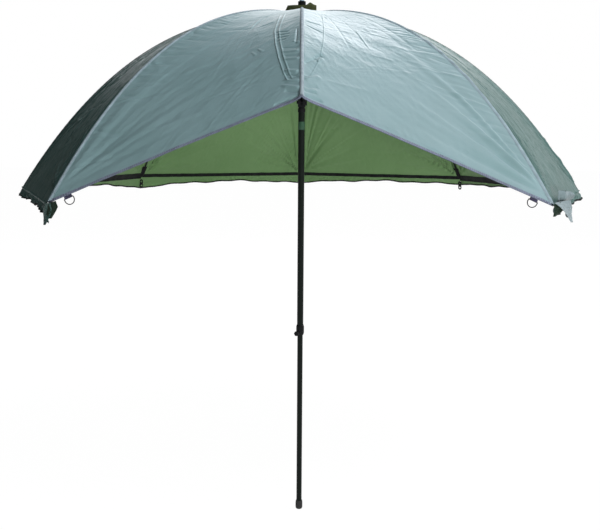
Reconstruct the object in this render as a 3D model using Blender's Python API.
"""Fishing brolly: an eight-rib umbrella tent on a two-piece pole that stands at its front edge.

Metres, +Z up. Someone facing the open front looks along +Y, with +X to the right.
The origin is the flat under the pole's foot. Rib directions are angles from the front, positive
to the right. The frame is a dome of eight curved ribs hinged in a notched hub. Struts run from
the ribs down to a runner on the hub's post. The front rib is the shortest, and its end is
held by a tilting head on top of the pole.
"""

import math

import bmesh
import bpy
from mathutils import Matrix, Vector

# Dome
RIB_REACH = 1.25
FRONT_REACH = 0.952
FRONT_ROD_END = 0.945
DOME_RISE = 0.763
DOME_POWER = 2.5
CROWN_DIP = 0.022
CROWN_DIP_REACH = 0.085
FRONT_BOW = 0.015
TIP_LEVEL = 1.100
ROD_RADIUS = 0.004

# Hub, runner and struts
HINGE_REACH = 0.045
HUB_RADIUS = 0.056
HUB_HALF = 0.009
TRUNNION_RADIUS = 0.0015
BARREL_RADIUS = 0.005
BLADE_WIDTH = 0.0044
SLOT_WIDTH = 0.0052
BLADE_LENGTH = 0.017
POST_RADIUS = 0.0125
POST_WALL = 0.0015
POST_DROP = 0.462
CAP_RADIUS = 0.0172
CAP_LOW = 0.0345
CAP_HIGH = 0.0555
FINIAL_RADIUS = 0.0105
FINIAL_HEIGHT = 0.018
FINIAL_DOME = 0.006
STRAP_HEIGHT = 0.038
STRAP_THICK = 0.0022
STRUT_REACH = 0.25
LUG_DROP = 0.012
RIVET_RADIUS = 0.0018
RUNNER_PIVOT_REACH = 0.030
RUNNER_DROP = 0.12
STRUT_RADIUS = 0.003
STRUT_SLOT = 0.0046
STRUT_BLADE = 0.0038
CATCH_PIN = 0.0011
CATCH_REACH = 0.0215
CATCH_DROP = 0.022

# Pole
FOOT_RADIUS = 0.0125
LOWER_TUBE_RADIUS = 0.0095
UPPER_TUBE_RADIUS = 0.0110
TUBE_WALL = 0.0012
LOWER_TUBE_TOP = 0.930
COLLAR_LEVEL = 0.664
COLLAR_HALF = 0.018
COLLAR_RADIUS = 0.0138
CLAMP_ANGLE = math.radians(-32)
CLAMP_LEVEL = COLLAR_LEVEL - 0.0105
SCREW_RADIUS = 0.0028
SCREW_HEAD_REACH = 0.0178
BOSS_RADIUS = 0.0062
HEAD_BASE = 1.416
TILT_LEVEL = 1.449
HEAD_HALF_WIDTH = 0.0125
HEAD_HALF_DEPTH = 0.0125
HEAD_PLUG = 0.035
HEAD_SHOULDER = 0.010
HEAD_NECK_RADIUS = 0.010
HEAD_NECK_OVERLAP = 0.0035
FORK_DROP = 0.0155
SLOT_DROP = 0.0092
TONGUE_RADIUS = 0.0080
TONGUE_HALF = 0.004
BOLT_RADIUS = 0.003
SOCKET_RADIUS = 0.0075
SOCKET_FRONT = 0.003
SOCKET_BACK = 0.021
SOCKET_BORE = 0.006
BOLT_HEAD_RADIUS = 0.0058
BALL_RADIUS = 0.0055
BALL_CUT = math.radians(58)

# Fabric
CLOTH = 0.0012
CLOTH_CLEAR = 0.0005
SKIRT_DEPTH = 0.045
SKIRT_LEAN = 0.004
SKIRT_WAVE = 0.005
FRONT_HEM_REACH = 0.917
FRONT_HEM_DROP = 0.034
FRONT_EASE = 0.0015
PANEL_SAG = 0.014
CROWN_HOLE = 0.0140
CROWN_ROWS = (CROWN_HOLE, 0.040, 0.062, 0.098)
CROWN_LIFT = 0.0100
CROWN_LIFT_REACH = 0.066
PANEL_ROWS = 10

# Fittings sewn to the cloth
RING_INSET = 0.068
RING_LEVEL = -0.011
RING_INWARD = 0.0044
RING_HALF = 0.0175
RING_WIRE = 0.0018
WEB_HEIGHT = 0.013
WEB_HALF = 0.014
POCKET_LENGTH = 0.062
TAB_TOP = 0.012
TAB_LENGTH = 0.046
TAB_HALF_WIDTH = 0.010
TAB_THICK = 0.0025
TAB_HOLE_RADIUS = 0.0048
TAB_INSET = 0.0004
TAB_HOLES = (-TAB_HALF_WIDTH - 0.002, TAB_HALF_WIDTH + 0.002 - TAB_LENGTH)

GAP = 0.0003
RIB_COUNT = 8
STEP = 2 * math.pi / RIB_COUNT

HUB_LEVEL = TIP_LEVEL + DOME_RISE
HUB_AXIS = Vector((0.0, FRONT_REACH, 0.0))

RIB_NAMES = {
    "front": 0.0,
    "right_front": 45.0,
    "right": 90.0,
    "right_back": 135.0,
    "back": 180.0,
    "left_back": -135.0,
    "left": -90.0,
    "left_front": -45.0,
}

# Colour, roughness and metallic value of each material
FINISHES = {
    "black_steel": ((0.016, 0.018, 0.018), 0.38, 0.7),
    "black_plastic": ((0.018, 0.019, 0.020), 0.5, 0.0),
    "bright_steel": ((0.60, 0.62, 0.64), 0.22, 1.0),
    "pole_lacquer": ((0.012, 0.020, 0.018), 0.30, 0.6),
    "pale_shaft": ((0.36, 0.45, 0.52), 0.4, 0.3),
    "front_cloth": ((0.20, 0.33, 0.35), 0.62, 0.0),
    "side_cloth": ((0.05, 0.11, 0.08), 0.62, 0.0),
    "back_cloth": ((0.09, 0.19, 0.10), 0.66, 0.0),
    "olive_web": ((0.065, 0.075, 0.030), 0.8, 0.0),
    "black_web": ((0.015, 0.015, 0.017), 0.85, 0.0),
    "rubber": ((0.02, 0.02, 0.02), 0.8, 0.0),
}


def rib_drop(reach):
    """Height of a rib's centre line against the crown, at a level distance from the hub axis."""
    dip = CROWN_DIP * math.exp(-((reach / CROWN_DIP_REACH) ** 2))
    return -DOME_RISE * (reach / RIB_REACH) ** DOME_POWER - dip


def front_drop(reach):
    """The same for the front rib, which the pole's head holds bent further down."""
    return rib_drop(reach) - FRONT_BOW * (reach / FRONT_ROD_END) ** 4


def front_slope(reach):
    """Angle by which the front rib falls at a level distance from the hub axis."""
    step = 0.0005
    return math.atan2(front_drop(reach - step) - front_drop(reach + step), 2 * step)


def panel_rows():
    """Where the rows of a panel cross its ribs, as shares of the way from the hub axis to the hem."""
    crown = [reach / RIB_REACH for reach in CROWN_ROWS]
    return [*crown, *(crown[-1] + (1 - crown[-1]) * i / PANEL_ROWS for i in range(1, PANEL_ROWS + 1))]


HINGE_DROP = rib_drop(HINGE_REACH)
HINGE_LEVEL = HUB_LEVEL + HINGE_DROP


def direction(angle):
    """Level unit vector of a rib direction."""
    return Vector((math.sin(angle), -math.cos(angle), 0.0))


def rib_frame(angle, reach=0.0, level=0.0):
    """Frame on a rib's vertical plane: x points outward, z up, y along the hinge pin."""
    place = HUB_AXIS + direction(angle) * reach + Vector((0, 0, level))
    return Matrix.Translation(place) @ Matrix.Rotation(angle - math.pi / 2, 4, "Z")


def finish(name):
    """The material of that name, made once."""
    material = bpy.data.materials.get(name)
    if material is None:
        colour, roughness, metallic = FINISHES[name]
        material = bpy.data.materials.new(name)
        material.use_nodes = True
        shader = material.node_tree.nodes["Principled BSDF"]
        shader.inputs["Base Color"].default_value = (*colour, 1.0)
        shader.inputs["Roughness"].default_value = roughness
        shader.inputs["Metallic"].default_value = metallic
    return material


def add(name, mesh, look, frame=Matrix.Identity(4), parent=None):
    """Put a mesh in the scene as one named piece at a frame, with its finish."""
    mesh.name = name
    if not mesh.materials:
        mesh.materials.append(finish(look))
    mesh.shade_smooth()
    mesh.set_sharp_from_angle(angle=math.radians(35))
    piece = bpy.data.objects.new(name, mesh)
    bpy.context.scene.collection.objects.link(piece)
    if parent:
        piece.parent = parent
        piece.matrix_parent_inverse = parent.matrix_basis.inverted()
    piece.matrix_basis = frame
    return piece


def pivot(name, place):
    """An empty on a joint's axis that carries the pieces of one moving body."""
    empty = bpy.data.objects.new(name, None)
    empty.location = place
    bpy.context.scene.collection.objects.link(empty)
    return empty


def to_mesh(bm):
    """Close a bmesh into a mesh with its faces pointing out."""
    bmesh.ops.remove_doubles(bm, verts=bm.verts, dist=1e-6)
    bmesh.ops.recalc_face_normals(bm, faces=bm.faces)
    mesh = bpy.data.meshes.new("shape")
    bm.to_mesh(mesh)
    bm.free()
    return mesh


def turned(profile, sides=24, closed=False):
    """Revolve a profile of (radius, height) points about Z; a closed profile makes a ring."""
    bm = bmesh.new()
    points = [bm.verts.new((radius, 0.0, height)) for radius, height in profile]
    edges = [bm.edges.new(pair) for pair in zip(points, points[1:])]
    if closed:
        edges.append(bm.edges.new((points[-1], points[0])))
    bmesh.ops.spin(
        bm, geom=points + edges, cent=(0, 0, 0), axis=(0, 0, 1),
        angle=2 * math.pi, steps=sides, use_merge=True,
    )
    return to_mesh(bm)


def bar(radius, start, end, sides=16):
    """A round bar between two points."""
    start, end = Vector(start), Vector(end)
    span = end - start
    bm = bmesh.new()
    bmesh.ops.create_cone(
        bm, cap_ends=True, segments=sides, radius1=radius, radius2=radius, depth=span.length,
    )
    turn = span.to_track_quat("Z", "Y").to_matrix().to_4x4()
    bmesh.ops.transform(bm, matrix=Matrix.Translation((start + end) / 2) @ turn, verts=bm.verts)
    return to_mesh(bm)


def block(low, high, frame=Matrix.Identity(4)):
    """A box between two corners, then carried by a frame."""
    low, high = Vector(low), Vector(high)
    size = Matrix.Diagonal((*(high - low), 1.0))
    bm = bmesh.new()
    bmesh.ops.create_cube(bm, size=1.0)
    bmesh.ops.transform(bm, matrix=frame @ Matrix.Translation((low + high) / 2) @ size, verts=bm.verts)
    return to_mesh(bm)


def plate(outline, thickness):
    """A flat plate in the XZ plane: an outline of (x, z) points, centred on Y."""
    bm = bmesh.new()
    face = bm.faces.new([bm.verts.new((x, -thickness / 2, z)) for x, z in outline])
    grown = bmesh.ops.extrude_face_region(bm, geom=[face])
    corners = [part for part in grown["geom"] if isinstance(part, bmesh.types.BMVert)]
    bmesh.ops.translate(bm, vec=(0, thickness, 0), verts=corners)
    bmesh.ops.triangulate(bm, faces=bm.faces, ngon_method="EAR_CLIP")
    return to_mesh(bm)


def rod(points, radius, resolution=2, cyclic=False):
    """A round rod along a line of points."""
    curve = bpy.data.curves.new("line", "CURVE")
    curve.dimensions = "3D"
    curve.bevel_depth = radius
    curve.bevel_resolution = resolution
    curve.use_fill_caps = True
    spline = curve.splines.new("POLY")
    spline.points.add(len(points) - 1)
    for knot, point in zip(spline.points, points):
        knot.co = (*point, 1.0)
    spline.use_cyclic_u = cyclic
    guide = bpy.data.objects.new("line", curve)
    bpy.context.scene.collection.objects.link(guide)
    graph = bpy.context.evaluated_depsgraph_get()
    mesh = bpy.data.meshes.new_from_object(guide.evaluated_get(graph))
    bpy.data.objects.remove(guide)
    bm = bmesh.new()
    bm.from_mesh(mesh)
    return to_mesh(bm)


def combined(base, others, operation="UNION"):
    """Add meshes to a mesh, or cut them out of it."""
    scene = bpy.context.scene.collection.objects
    body = bpy.data.objects.new("body", base)
    scene.link(body)
    tools = []
    for other in others:
        tool = bpy.data.objects.new("tool", other)
        scene.link(tool)
        tools.append(tool)
        step = body.modifiers.new("step", "BOOLEAN")
        step.operation = operation
        step.solver = "EXACT"
        step.object = tool
    graph = bpy.context.evaluated_depsgraph_get()
    mesh = bpy.data.meshes.new_from_object(body.evaluated_get(graph))
    for piece in [body, *tools]:
        bpy.data.objects.remove(piece)
    bm = bmesh.new()
    bm.from_mesh(mesh)
    bmesh.ops.dissolve_degenerate(bm, dist=1e-7, edges=bm.edges)
    bm.to_mesh(mesh)
    bm.free()
    mesh.materials.clear()
    return mesh


def moved(mesh, frame):
    """The mesh carried by a frame."""
    mesh.transform(frame)
    return mesh


def arc(centre, radius, start, end, steps):
    """Points (x, z) along an arc, angles in degrees."""
    angles = [math.radians(start + (end - start) * i / steps) for i in range(steps + 1)]
    return [(centre[0] + radius * math.cos(a), centre[1] + radius * math.sin(a)) for a in angles]


def notches(width, inner, outer, low, high):
    """Eight radial slots, one on each rib's plane."""
    cutters = []
    for angle in map(math.radians, RIB_NAMES.values()):
        turn = Matrix.Rotation(angle - math.pi / 2, 4, "Z")
        cutters.append(block((inner, -width / 2, low), (outer, width / 2, high), turn))
    return cutters


def tube(outer, wall, low, high, sides=24):
    """An open-ended tube."""
    inner = outer - wall
    return turned([(outer, low), (outer, high), (inner, high), (inner, low)], sides, closed=True)


def build_lower_pole():
    """The fixed pole tube and the plug that it stands on."""
    add("lower_tube", tube(LOWER_TUBE_RADIUS, TUBE_WALL, 0.032, LOWER_TUBE_TOP), "pole_lacquer")
    spigot = LOWER_TUBE_RADIUS - TUBE_WALL - GAP
    flat = 0.008
    dome = [(flat + (FOOT_RADIUS - flat) * math.sin(a), 0.008 * (1 - math.cos(a)))
            for a in (math.pi / 2 * i / 3 for i in range(4))]
    neck = [(FOOT_RADIUS, 0.024), (0.0112, 0.0317), (spigot, 0.0317), (spigot, 0.055), (0, 0.055)]
    add("foot_plug", turned([(0, 0), *dome, *neck], 20), "rubber")


def build_upper_pole(slide):
    """The sliding pole tube with its clamp and the fork on its top."""
    foot = COLLAR_LEVEL - 0.006
    upper = tube(UPPER_TUBE_RADIUS, TUBE_WALL, foot, HEAD_BASE)
    add("upper_tube", upper, "pole_lacquer", parent=slide)

    low, high = COLLAR_LEVEL - COLLAR_HALF, COLLAR_LEVEL + COLLAR_HALF
    seat = UPPER_TUBE_RADIUS + GAP
    bore = LOWER_TUBE_RADIUS + GAP
    ring = [(bore, low), (COLLAR_RADIUS - 0.002, low), (COLLAR_RADIUS, low + 0.007),
            (COLLAR_RADIUS, high - 0.007), (COLLAR_RADIUS - 0.002, high),
            (seat, high), (seat, foot - GAP), (bore, foot - GAP)]
    aim = direction(CLAMP_ANGLE)
    at = Vector((0, 0, CLAMP_LEVEL))
    collar = turned(ring, closed=True)
    boss = bar(BOSS_RADIUS, at + aim * (UPPER_TUBE_RADIUS + 2 * GAP), at + aim * 0.0165)
    bore_cut = bar(bore, (0, 0, low - 0.001), (0, 0, foot - GAP), 24)
    hole = bar(SCREW_RADIUS + GAP, at, at + aim * 0.03)
    collar = combined(combined(collar, [boss]), [bore_cut, hole], "DIFFERENCE")
    add("clamp_collar", collar, "black_plastic", parent=slide)

    half, deep = HEAD_HALF_WIDTH, HEAD_HALF_DEPTH
    skirt = UPPER_TUBE_RADIUS + 0.0018
    plug = UPPER_TUBE_RADIUS - TUBE_WALL - GAP
    base = TILT_LEVEL - FORK_DROP
    foot, neck = HEAD_BASE - HEAD_PLUG, HEAD_NECK_RADIUS
    stem = [(0, foot), (plug, foot), (plug, HEAD_BASE + GAP), (skirt, HEAD_BASE + GAP),
            (skirt, HEAD_BASE + HEAD_SHOULDER), (neck, base), (neck, base + HEAD_NECK_OVERLAP),
            (0, base + HEAD_NECK_OVERLAP)]
    top = TILT_LEVEL + deep + 0.001
    fork = block((-half, -deep, base), (half, deep, top))
    cheek = plate(
        [(-deep, base - 0.010), (deep, base - 0.010), (deep, TILT_LEVEL),
         *arc((0, TILT_LEVEL), deep, 0, 180, 10)], 4 * half)
    cheek = moved(cheek, Matrix.Rotation(math.pi / 2, 4, "Z"))
    fork = combined(fork, [cheek], "INTERSECT")
    slot = block((-TONGUE_HALF - GAP, -0.03, TILT_LEVEL - SLOT_DROP), (TONGUE_HALF + GAP, 0.03, top + 0.01))
    bolt_hole = bar(BOLT_RADIUS + GAP, (-0.03, 0, TILT_LEVEL), (0.03, 0, TILT_LEVEL))
    head = combined(turned(stem), [fork])
    add("pole_head", combined(head, [slot, bolt_hole], "DIFFERENCE"), "black_plastic", parent=slide)

    shank = bar(BOLT_RADIUS, (-half - 0.001, 0, TILT_LEVEL), (half + 0.0035, 0, TILT_LEVEL))
    hexagon = bar(BOLT_HEAD_RADIUS, (-half - GAP, 0, TILT_LEVEL), (-half - 0.0045, 0, TILT_LEVEL), 6)
    add("tilt_bolt", combined(shank, [hexagon]), "black_steel", parent=slide)


def star(radius, depth, lobes, hole):
    """A lobed hand knob about Z, flat on the level plane, with a bore for its bolt."""
    outline = []
    for i in range(lobes * 4):
        angle = 2 * math.pi * i / (lobes * 4)
        outline.append((1 - 0.14 * (i % 4 == 2)) * radius * Vector((math.cos(angle), math.sin(angle))))
    bm = bmesh.new()
    face = bm.faces.new([bm.verts.new((p.x, p.y, 0.0)) for p in outline])
    grown = bmesh.ops.extrude_face_region(bm, geom=[face])
    corners = [part for part in grown["geom"] if isinstance(part, bmesh.types.BMVert)]
    bmesh.ops.translate(bm, vec=(0, 0, depth), verts=corners)
    knob = to_mesh(bm)
    return combined(knob, [hole], "DIFFERENCE") if hole else knob


def build_knobs(slide):
    """The clamp's thumb screw and the tilt knob, each turning on its own axis."""
    aim = direction(CLAMP_ANGLE)
    turn = aim.to_track_quat("Z", "Y").to_matrix().to_4x4()
    thumb = star(0.0085, 0.009, 6, None)
    shank = bar(SCREW_RADIUS, (0, 0, LOWER_TUBE_RADIUS + GAP - SCREW_HEAD_REACH), (0, 0, 0.001))
    screw = combined(thumb, [shank])
    place = Matrix.Translation(Vector((0, 0, CLAMP_LEVEL)) + aim * SCREW_HEAD_REACH) @ turn
    add("clamp_screw", screw, "black_plastic", place, parent=slide)

    hole = bar(BOLT_RADIUS + GAP, (0, 0, -0.001), (0, 0, 0.0035), 16)
    knob = star(0.0105, 0.0048, 7, hole)
    side = Matrix.Translation((HEAD_HALF_WIDTH + GAP, 0, TILT_LEVEL)) @ Matrix.Rotation(math.pi / 2, 4, "Y")
    add("tilt_knob", knob, "black_plastic", side, parent=slide)


def rib_points(hem, end, fall):
    """Points down a rib's centre line in its own frame, bent where the cloth's rows cross it."""
    start = HINGE_REACH + BLADE_LENGTH
    crossings = [row * hem for row in panel_rows()]
    reaches = [start, *(r for r in crossings if start + 0.004 < r < end - 0.008), end]
    return [(r - HINGE_REACH, 0.0, fall(r) - HINGE_DROP) for r in reaches]


def hinge_eye():
    """Flattened inner end of a rib: a barrel with two trunnions, and the blade behind it."""
    root = HINGE_REACH + BLADE_LENGTH
    rise = rib_drop(root + 0.006) - HINGE_DROP
    tall = ROD_RADIUS
    blade = plate([(0, -tall), (BLADE_LENGTH + 0.006, rise - tall),
                   (BLADE_LENGTH + 0.006, rise + tall), (0, tall)], BLADE_WIDTH - 0.0008)
    half = BLADE_WIDTH / 2
    barrel = bar(BARREL_RADIUS, (0, -half, 0), (0, half, 0), 12)
    pin = bar(TRUNNION_RADIUS, (0, -half - 0.0026, 0), (0, half + 0.0026, 0), 8)
    return [blade, barrel, pin]


def strut_lug():
    """Lug under a rib that its strut is riveted to, in the rib's own frame."""
    reach = HINGE_REACH + STRUT_REACH
    x = STRUT_REACH
    z = rib_drop(reach) - HINGE_DROP
    eye = 0.0048
    outline = [(x - 0.011, z - 0.002), (x + 0.011, z - 0.002), *arc((x, z - LUG_DROP), eye, 0, -180, 6)]
    body = plate(outline, 0.003)
    hole = bar(RIVET_RADIUS + GAP, (x, -0.01, z - LUG_DROP), (x, 0.01, z - LUG_DROP), 8)
    return combined(body, [hole], "DIFFERENCE")


def rib_mesh(hem, end, fall=rib_drop):
    """A whole rib: a curved rod with its hub eye and its strut lug."""
    shaft = rod(rib_points(hem, end, fall), ROD_RADIUS)
    return combined(shaft, [*hinge_eye(), strut_lug()])


def build_front_rib(head):
    """The short front rib, the socket that holds its end in the fork, and its ball end."""
    place = rib_frame(0.0, HINGE_REACH, HINGE_LEVEL)
    rib = rib_mesh(FRONT_HEM_REACH, FRONT_ROD_END, front_drop)
    add("rib_front", rib, "black_steel", place, parent=head)

    end = Vector((0, FRONT_REACH - FRONT_ROD_END, HUB_LEVEL + front_drop(FRONT_ROD_END)))
    slope = front_slope((FRONT_HEM_REACH + FRONT_ROD_END) / 2)
    along = Vector((0, -math.cos(slope), -math.sin(slope)))
    last, first = end - along * SOCKET_FRONT, end - along * SOCKET_BACK
    sleeve = bar(SOCKET_RADIUS, last, first, 20)
    reach_down = plate(
        [*arc((0, TILT_LEVEL), TONGUE_RADIUS, 180, 360, 10), (last.y + 0.006, TILT_LEVEL + 0.005),
         (first.y, first.z - 0.004), (first.y - 0.003, first.z), (last.y + 0.0035, last.z),
         (last.y + 0.001, TILT_LEVEL + 0.010)], 2 * TONGUE_HALF)
    reach_down = moved(reach_down, Matrix.Rotation(math.pi / 2, 4, "Z"))
    bolt_hole = bar(BOLT_RADIUS + GAP, (-0.02, 0, TILT_LEVEL), (0.02, 0, TILT_LEVEL))
    rod_hole = bar(ROD_RADIUS + 2 * GAP, end + along * SOCKET_BORE, first - along * SOCKET_BACK, 20)
    socket = combined(combined(sleeve, [reach_down]), [bolt_hole, rod_hole], "DIFFERENCE")
    add("rib_socket", socket, "black_plastic", parent=head)

    sweep = math.pi / 2 + BALL_CUT
    ball = [(BALL_RADIUS * math.cos(a), BALL_RADIUS * math.sin(a))
            for a in (sweep * i / 8 - BALL_CUT for i in range(8))]
    seat = -BALL_RADIUS * math.sin(BALL_CUT)
    cap = turned([(0, seat), *ball, (0, BALL_RADIUS)], 14)
    turn = along.to_track_quat("Z", "Y").to_matrix().to_4x4()
    centre = end + along * (GAP - seat)
    add("rib_ball", cap, "bright_steel", Matrix.Translation(centre) @ turn, parent=head)


def build_hub(fold):
    """The notched hub with its cover, the post under it and the cap and finial on top."""
    axis = Matrix.Translation(HUB_AXIS + Vector((0, 0, HINGE_LEVEL)))
    bore = POST_RADIUS + GAP
    disc = [(bore, -HUB_HALF - 0.008), (0.022, -HUB_HALF - 0.008), (0.026, -HUB_HALF),
            (HUB_RADIUS - 0.002, -HUB_HALF), (HUB_RADIUS, -HUB_HALF + 0.002),
            (HUB_RADIUS, HUB_HALF - GAP - 0.001), (HUB_RADIUS - 0.0015, HUB_HALF - GAP),
            (bore, HUB_HALF - GAP)]
    slots = notches(SLOT_WIDTH, HINGE_REACH - BARREL_RADIUS - 0.0008, 0.08, -0.03, 0.03)
    beds = []
    bed = TRUNNION_RADIUS + GAP
    for angle in map(math.radians, RIB_NAMES.values()):
        turn = Matrix.Rotation(angle - math.pi / 2, 4, "Z")
        reach = BLADE_WIDTH / 2 + 0.0031
        beds.append(block((HINGE_REACH - bed, -reach, -bed), (HINGE_REACH + bed, reach, 0.03), turn))
    hub = combined(turned(disc, 32, closed=True), slots + beds, "DIFFERENCE")
    add("hub", hub, "black_plastic", axis, parent=fold)

    cover = [(bore, HUB_HALF), (HINGE_REACH + 0.003, HUB_HALF), (HINGE_REACH + 0.004, HUB_HALF + 0.0008),
             (HINGE_REACH + 0.001, HUB_HALF + 0.002), (bore, HUB_HALF + 0.002)]
    add("hub_cover", turned(cover, 24, closed=True), "black_plastic", axis, parent=fold)

    base = HUB_AXIS + Vector((0, 0, HUB_LEVEL))
    crown = Matrix.Translation(base)
    post = tube(POST_RADIUS, POST_WALL, HINGE_DROP - POST_DROP, CAP_LOW - GAP)
    add("hub_post", post, "pole_lacquer", crown, parent=fold)

    inner = POST_RADIUS - POST_WALL - GAP
    cap = [(0, CAP_LOW - 0.02), (inner, CAP_LOW - 0.02), (inner, CAP_LOW), (0.0155, CAP_LOW),
           (CAP_RADIUS, CAP_LOW + 0.0015), (CAP_RADIUS, CAP_HIGH - 0.0015), (0.0155, CAP_HIGH),
           (0, CAP_HIGH)]
    add("top_cap", turned(cap, 24), "black_plastic", crown, parent=fold)
    shoulder = CAP_HIGH + FINIAL_HEIGHT
    finial = [(0, CAP_HIGH + GAP), (FINIAL_RADIUS, CAP_HIGH + GAP), (FINIAL_RADIUS, shoulder),
              *[(FINIAL_RADIUS * math.cos(a), shoulder + FINIAL_DOME * math.sin(a))
                for a in (math.pi / 2 * i / 4 for i in range(1, 5))]]
    add("finial", turned(finial, 16), "pale_shaft", crown, parent=fold)

    bottom = HINGE_DROP - POST_DROP
    stop = [(0, bottom - 0.006), (0.0105, bottom - 0.006), (0.0138, bottom - 0.003),
            (0.0138, bottom - GAP), (inner, bottom - GAP), (inner, bottom + 0.02), (0, bottom + 0.02)]
    add("post_stop", turned(stop), "black_plastic", crown, parent=fold)
    build_crown_patch(crown, fold)


def band(route, thickness, low, high):
    """A strip of webbing on edge: a route of level points given a thickness and a height."""
    near, far = [], []
    for i, point in enumerate(route):
        ahead = Vector(route[min(i + 1, len(route) - 1)]) - Vector(route[max(i - 1, 0)])
        side = Vector((-ahead.y, ahead.x)).normalized() * thickness / 2
        near.append(Vector(point) - side)
        far.append(Vector(point) + side)
    bm = bmesh.new()
    for a, b in zip(range(len(route) - 1), range(1, len(route))):
        corners = [near[a], near[b], far[b], far[a]]
        bottom = [bm.verts.new((*p, low)) for p in corners]
        top = [bm.verts.new((*p, high)) for p in corners]
        bm.faces.new(bottom)
        bm.faces.new(top)
        for i, j in ((0, 1), (2, 3)):
            bm.faces.new((bottom[i], bottom[j], top[j], top[i]))
        if a == 0:
            bm.faces.new((bottom[3], bottom[0], top[0], top[3]))
        if b == len(route) - 1:
            bm.faces.new((bottom[1], bottom[2], top[2], top[1]))
    return to_mesh(bm)


def build_crown_patch(crown, fold):
    """The round crown patch, and the strap sewn across it: a flag to the left, a loop to the right."""
    level = HINGE_DROP + CROWN_LIFT + ROD_RADIUS + CLOTH_CLEAR + CLOTH + GAP
    top = level + 0.0015
    disc = [(CROWN_HOLE, level), (0.036, level), (0.036, top), (CROWN_HOLE, top)]
    add("crown_patch", turned(disc, 24, closed=True), "olive_web", crown, parent=fold)
    loop = [(0.042 + 0.021 * math.cos(a), -0.020 + 0.010 * math.sin(a) + 0.010)
            for a in (math.radians(-90 + 300 * i / 12) for i in range(13))]
    strap = band([(-0.062, -0.024), (-0.040, -0.022), (-0.012, -0.0205), (0.020, -0.0205), *loop],
                 STRAP_THICK, top + GAP, top + STRAP_HEIGHT)
    add("crown_strap", strap, "olive_web", crown, parent=fold)


def build_runner(slide):
    """The runner: a sleeve on the post with a notched flange for the struts, and its thumb catch."""
    frame = Matrix.Translation(HUB_AXIS + Vector((0, 0, HINGE_LEVEL - RUNNER_DROP)))
    bore = POST_RADIUS + GAP
    profile = [(bore, -0.040), (0.0175, -0.040), (0.0190, -0.038), (0.0175, -0.030), (0.0175, -0.010),
               (0.0230, -0.006), (0.0350, -0.006), (0.0365, -0.0045), (0.0365, 0.0045), (0.0350, 0.006),
               (0.0200, 0.006), (0.0185, 0.010), (bore, 0.010)]
    ring = turned(profile, 24, closed=True)
    ears = []
    for side in (-1, 1):
        low = (side * 0.0034 - 0.001, -CATCH_REACH - 0.003, -CATCH_DROP - 0.004)
        high = (side * 0.0034 + 0.001, -0.016, -CATCH_DROP + 0.004)
        ears.append(block(low, high))
    slots = notches(STRUT_SLOT, RUNNER_PIVOT_REACH - 0.0075, 0.06, -0.03, 0.03)
    hole = bar(CATCH_PIN + GAP, (-0.01, -CATCH_REACH, -CATCH_DROP), (0.01, -CATCH_REACH, -CATCH_DROP), 10)
    pocket = block((-0.0020, -0.02, -0.0185), (0.0020, -0.012, -0.0125))
    ring = combined(combined(ring, ears), [*slots, hole, pocket], "DIFFERENCE")
    add("runner", ring, "black_plastic", frame, parent=slide)

    lever = plate([(0.0018, 0.0082), (0.0018, -0.008), (0.0078, -0.021), (0.0062, -0.022),
                   (0.0006, -0.014), (-0.0021, 0.0042), (-0.0068, 0.0042), (-0.0068, 0.0082)], 0.0036)
    lever = moved(lever, Matrix.Rotation(-math.pi / 2, 4, "Z"))
    pin = bar(CATCH_PIN, (-0.0044, 0, 0), (0.0044, 0, 0), 12)
    place = frame @ Matrix.Translation((0, -CATCH_REACH, -CATCH_DROP))
    add("runner_catch", combined(lever, [pin]), "black_plastic", place, parent=slide)


def strut_ends():
    """Rivet and runner pivot of a strut in its rib's frame, as (outward, up) from the hub hinge."""
    outer = Vector((STRUT_REACH, rib_drop(HINGE_REACH + STRUT_REACH) - HINGE_DROP - LUG_DROP))
    inner = Vector((RUNNER_PIVOT_REACH - HINGE_REACH, -RUNNER_DROP))
    return outer, inner


def strut_mesh():
    """A strut along +X from its rivet: a fork over the rib's lug, a rod, and a flat inner eye."""
    outer, inner = strut_ends()
    length = (outer - inner).length
    half = 0.0015 + GAP
    wide = half + 0.0018
    tall = 0.0036
    fork_end = 0.013
    arm = [*arc((0, 0), tall, 90, 270, 6), (fork_end, -tall), (fork_end, tall)]
    fork = plate(arm, 2 * wide)
    gap = block((-0.02, -half, -0.01), (fork_end - 0.004, half, 0.01))
    fork = combined(fork, [gap], "DIFFERENCE")
    rivet = bar(RIVET_RADIUS, (0, -wide - 0.0008, 0), (0, wide + 0.0008, 0), 8)
    blade = 0.016
    shaft = bar(STRUT_RADIUS, (fork_end - 0.002, 0, 0), (length - blade + 0.002, 0, 0), 8)
    eye = plate([(length - blade, -0.0034), *arc((length, 0), 0.0038, -90, 90, 5),
                 (length - blade, 0.0034)], STRUT_BLADE)
    return combined(fork, [rivet, shaft, eye])


def build_ribs_and_struts(head, hub):
    """Seven long ribs on the hub, and a strut from each of the eight ribs to the runner."""
    long_rib = rib_mesh(RIB_REACH, RIB_REACH - ROD_RADIUS)
    strut = strut_mesh()
    outer, inner = strut_ends()
    dip = math.atan2(outer.y - inner.y, outer.x - inner.x)
    for name, degrees in RIB_NAMES.items():
        angle = math.radians(degrees)
        hinge = rib_frame(angle, HINGE_REACH, HINGE_LEVEL)
        carrier = hub
        if name == "front":
            carrier = head
        else:
            add(f"rib_{name}", long_rib.copy(), "black_steel", hinge, parent=hub)
        rivet = hinge @ Matrix.Translation((outer.x, 0, outer.y))
        inward = Matrix.Rotation(math.pi, 4, "Z") @ Matrix.Rotation(dip, 4, "Y")
        add(f"strut_{name}", strut.copy(), "black_steel", rivet @ inward, parent=carrier)


def cloth_lift(reach):
    """How far the cloth's inner face stands off a rib's centre line."""
    return ROD_RADIUS + CLOTH_CLEAR + CROWN_LIFT * math.exp(-((reach / CROWN_LIFT_REACH) ** 4))


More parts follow.
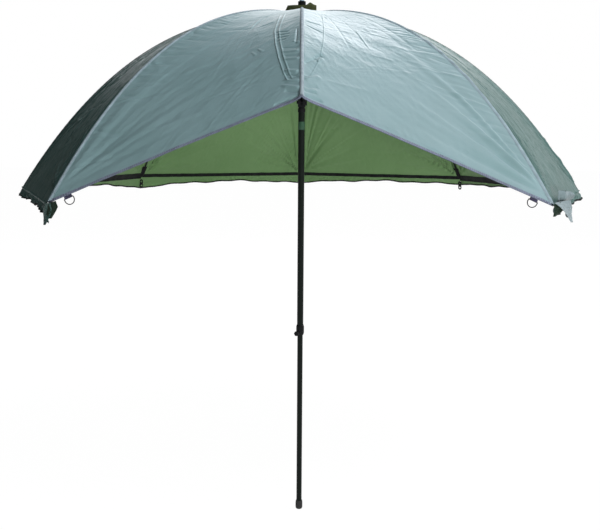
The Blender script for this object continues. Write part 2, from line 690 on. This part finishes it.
def panel_point(own, other, hand, turn, row):
    """Point on the cloth between two ribs, and the outward direction in its upright plane.

    own and other are the reaches at which the hem meets the panel's rib and the next rib, turn is
    the angle from its own rib and row runs from 0 at the crown to 1 at the hem. The rib that the
    hem meets at less than full reach is the front one.
    """
    falls = [rib_drop if reach == RIB_REACH else front_drop for reach in (own, other)]

    def base(fraction):
        near, far = (max(CROWN_HOLE, reach * fraction) for reach in (own, other))
        falling = [fall(max(reach, HINGE_REACH)) for fall, reach in zip(falls, (near, far))]
        a = near * math.sin(turn)
        b = far * math.sin(STEP - turn)
        share = a / (a + b)
        x = (1 - share) * near + share * far * math.cos(STEP)
        y = share * far * math.sin(STEP)
        drop = (1 - share) * falling[0] + share * falling[1]
        return math.hypot(x, y), drop, (1 - share) * near + share * far, share

    radius, drop, reach, share = base(row)
    ahead, before = base(min(row + 0.002, 1.0)), base(max(row - 0.002, 0.0))
    slope = math.atan2(before[1] - ahead[1], ahead[0] - before[0])
    if reach < HINGE_REACH:
        slope = 0.0
    sag = PANEL_SAG * math.sin(math.pi * turn / STEP) * math.sin(math.pi * row) ** 2
    hem = (1 - share) * own + share * other
    ease = FRONT_EASE * row * (RIB_REACH - hem) / (RIB_REACH - FRONT_HEM_REACH)
    lift = cloth_lift(reach) - sag + ease
    radial = Vector((math.cos(turn), hand * math.sin(turn), 0.0))
    normal = radial * math.sin(slope) + Vector((0, 0, math.cos(slope)))
    return radial * radius + Vector((0, 0, drop)) + normal * lift, normal, radial


def panel_mesh(own, other, hand, skirt, columns):
    """Half a gore of cloth from its rib to its fold line, as a thin closed shell in its rib's frame.

    skirt gives the depth of the hanging hem and how far it leans out, for a turn from the rib.
    """
    half = STEP / 2
    rows = panel_rows()
    outside, inside = [], []
    for column in columns:
        turn = half * column
        across = Vector((-math.sin(turn), hand * math.cos(turn), 0.0))
        clear = across * GAP / 2 * ((column == 0) - (column == 1))
        inner_line, outer_line = [], []
        for row in rows:
            point, normal, radial = panel_point(own, other, hand, turn, row)
            if row == rows[-1]:
                normal = (normal + radial).normalized()
            inner_line.append(point + clear)
            outer_line.append(point + clear + normal * CLOTH)
        depth, lean, wave = skirt(column)
        for share in (0.5, 1.0):
            shift = Vector((0, 0, -depth * share)) + radial * (lean + wave) * share
            inner_line.append(inner_line[len(rows) - 1] + shift)
            outer_line.append(inner_line[-1] + radial * CLOTH)
        inside.append(inner_line)
        outside.append(outer_line)

    bm = bmesh.new()
    sheets = []
    for lines in (outside, inside):
        sheets.append([[bm.verts.new(point) for point in line] for line in lines])
    for sheet in sheets:
        for left, right in zip(sheet, sheet[1:]):
            for a, b, c, d in zip(left, left[1:], right[1:], right):
                bm.faces.new((a, b, c, d))
    outer, inner = sheets
    for line in (0, -1):
        for a, b, c, d in zip(outer[line], outer[line][1:], inner[line][1:], inner[line]):
            bm.faces.new((a, b, c, d))
    for end in (0, -1):
        for i in range(len(columns) - 1):
            bm.faces.new((outer[i][end], outer[i + 1][end], inner[i + 1][end], inner[i][end]))
    return to_mesh(bm)


def side_skirt(column):
    """The mud flap round the sides and back, with shallow waves that rest at ribs and fold lines."""
    return SKIRT_DEPTH, SKIRT_LEAN, SKIRT_WAVE * math.sin(2 * math.pi * column)


def front_hem(column, own):
    """The front's turned-down hem, deepest beside the front rib and gone at the next rib."""
    if own and column == 0:
        return 0.0, 0.0005, 0.0
    share = column / 2 if own else 1 - column / 2
    reach = min(1.0, column / 0.12) if own else 1.0
    return 0.004 + (FRONT_HEM_DROP - 0.004) * (1 - share) * reach, 0.002, 0.0


def fold_pivot(hand):
    """Where a rib's hinge line meets the hinge line of the fold beside it, in the rib's frame."""
    quarter = STEP / 4
    reach = HINGE_REACH / math.cos(quarter)
    return Vector((reach * math.cos(quarter), hand * reach * math.sin(quarter), 0.0))


def build_canopy(head, hub):
    """Sixteen half gores, two on each rib, that meet along the fold lines between the ribs."""
    even = (0.0, 0.25, 0.5, 0.75, 1.0)
    close = (0.0, 0.06, 0.28, 0.52, 0.76, 1.0)
    for name, degrees in RIB_NAMES.items():
        angle = math.radians(degrees)
        for label, hand in (("l", -1), ("r", 1)):
            look = "side_cloth"
            beside_front = (name == "right_front" and hand < 0) or (name == "left_front" and hand > 0)
            if name == "front":
                mesh = panel_mesh(FRONT_HEM_REACH, RIB_REACH, hand, lambda c: front_hem(c, True), close)
                look = "front_cloth"
            elif beside_front:
                mesh = panel_mesh(RIB_REACH, FRONT_HEM_REACH, hand, lambda c: front_hem(c, False), even)
                look = "front_cloth"
            else:
                mesh = panel_mesh(RIB_REACH, RIB_REACH, hand, side_skirt, even)
                if "back" in name:
                    look = "back_cloth"
            spot = fold_pivot(hand)
            mesh.transform(Matrix.Translation(Vector((0, 0, -HINGE_DROP)) - spot))
            frame = rib_frame(angle, 0.0, HINGE_LEVEL) @ Matrix.Translation(spot)
            carrier = head if name == "front" else hub
            add(f"panel_{name}_{label}", mesh, look, frame, parent=carrier)


def hem_frame(hand):
    """Frame on a front hem at its D-ring: x runs down along the hem, y to the inside, z upward."""
    tip = HUB_AXIS + direction(hand * STEP) * RIB_REACH + Vector((0, 0, TIP_LEVEL))
    front = HUB_AXIS + direction(0) * FRONT_HEM_REACH
    front.z = HUB_LEVEL + front_drop(FRONT_HEM_REACH)
    run = (tip - front).normalized()
    across = Vector((run.x, run.y, 0)).normalized()
    out = Vector((across.y, -across.x, 0)) * hand
    place = tip - run * RING_INSET - out * RING_INWARD
    edge = run * hand
    axes = Matrix((edge, -out, edge.cross(-out))).transposed().to_4x4()
    return Matrix.Translation(place) @ axes


def ring_outline():
    """A D in the XZ plane: a straight bar on top and a round bow below."""
    bow = arc((0, -0.008), RING_HALF, -180, 0, 14)
    corner = RING_HALF - 0.003
    return [(-corner, 0.0), (0.0, 0.0), (corner, 0.0), (RING_HALF, -0.003), *reversed(bow), (-RING_HALF, -0.003)]


def build_rings(hub):
    """The two D-rings on the front hem, each in a loop of webbing sewn under the hem."""
    for label, hand in (("left", -1), ("right", 1)):
        frame = hem_frame(hand)
        drop = Matrix.Translation((0, 0, RING_LEVEL))
        points = [(x, 0.0, z) for x, z in ring_outline()]
        ring = rod(points, RING_WIRE, resolution=1, cyclic=True)
        add(f"d_ring_{label}", ring, "bright_steel", frame @ drop, parent=hub)
        hole = RING_WIRE + GAP
        loop = [*arc((0, 0), hole + 0.0016, -180, 0, 8), (hole + 0.0012, WEB_HEIGHT), (-hole - 0.0012, WEB_HEIGHT)]
        web = plate(loop, 2 * WEB_HALF)
        eye = bar(hole, (0, -0.03, 0), (0, 0.03, 0), 12)
        web = combined(web, [eye], "DIFFERENCE")
        web = moved(web, Matrix.Rotation(math.pi / 2, 4, "Z"))
        add(f"ring_web_{label}", web, "black_web", frame @ drop, parent=hub)


def build_tip_pieces(hub):
    """On the two back corners: the pocket that holds the rib's end, and a two-hole peg tab."""
    end = RIB_REACH - ROD_RADIUS
    bend = panel_rows()[-2] * RIB_REACH
    slope = math.atan2(rib_drop(bend) - rib_drop(end), end - bend)
    fall = Matrix.Rotation(slope, 4, "Y") @ Matrix.Translation((-POCKET_LENGTH / 2 - 0.004, 0, 0))
    turn = Matrix.Rotation(-math.pi / 2, 4, "Z")
    bore = arc((0, 0), ROD_RADIUS + 2 * GAP, 20, -200, 10)
    outline = [(-0.016, -0.0036), (-0.0065, -0.0064), (0.0065, -0.0064), (0.016, -0.0036),
               (0.016, -0.0024), (0.0056, 0.0013), *bore, (-0.0056, 0.0013), (-0.016, -0.0024)]
    for name in ("left_back", "right_back"):
        angle = math.radians(RIB_NAMES[name])
        frame = rib_frame(angle, end, HUB_LEVEL + rib_drop(end))
        sleeve = moved(plate(outline, POCKET_LENGTH), turn)
        add(f"tip_pocket_{name}", sleeve, "black_web", frame @ fall, parent=hub)

        hang = Matrix.Rotation(-math.atan2(SKIRT_LEAN, SKIRT_DEPTH), 4, "Y")
        tab_frame = rib_frame(angle, RIB_REACH - TAB_INSET, TIP_LEVEL - TAB_TOP) @ hang
        half = TAB_HALF_WIDTH
        oblong = [*arc((0, -half), half, 0, 180, 8), *arc((0, half - TAB_LENGTH), half, 180, 360, 8)]
        tab = plate(oblong, TAB_THICK)
        tab = moved(tab, Matrix.Rotation(math.pi / 2, 4, "Z"))
        holes = [bar(TAB_HOLE_RADIUS, (-0.01, 0, z), (0.01, 0, z), 12) for z in TAB_HOLES]
        add(f"peg_tab_{name}", combined(tab, holes, "DIFFERENCE"), "black_plastic", tab_frame, parent=hub)


def build():
    """Clear the scene and make the whole brolly."""
    for old in list(bpy.data.objects):
        bpy.data.objects.remove(old)
    slide = pivot("pole_slide", (0, 0, COLLAR_LEVEL))
    head = pivot("tilt_axis", (0, 0, TILT_LEVEL))
    fold = pivot("fold_axis", (0, FRONT_REACH - HINGE_REACH, HINGE_LEVEL))
    runner = pivot("runner_axis", (0, FRONT_REACH, HINGE_LEVEL - RUNNER_DROP))
    build_lower_pole()
    build_upper_pole(slide)
    build_knobs(slide)
    build_front_rib(head)
    build_hub(fold)
    build_runner(runner)
    build_ribs_and_struts(head, fold)
    build_canopy(head, fold)
    build_rings(fold)
    build_tip_pieces(fold)


build()
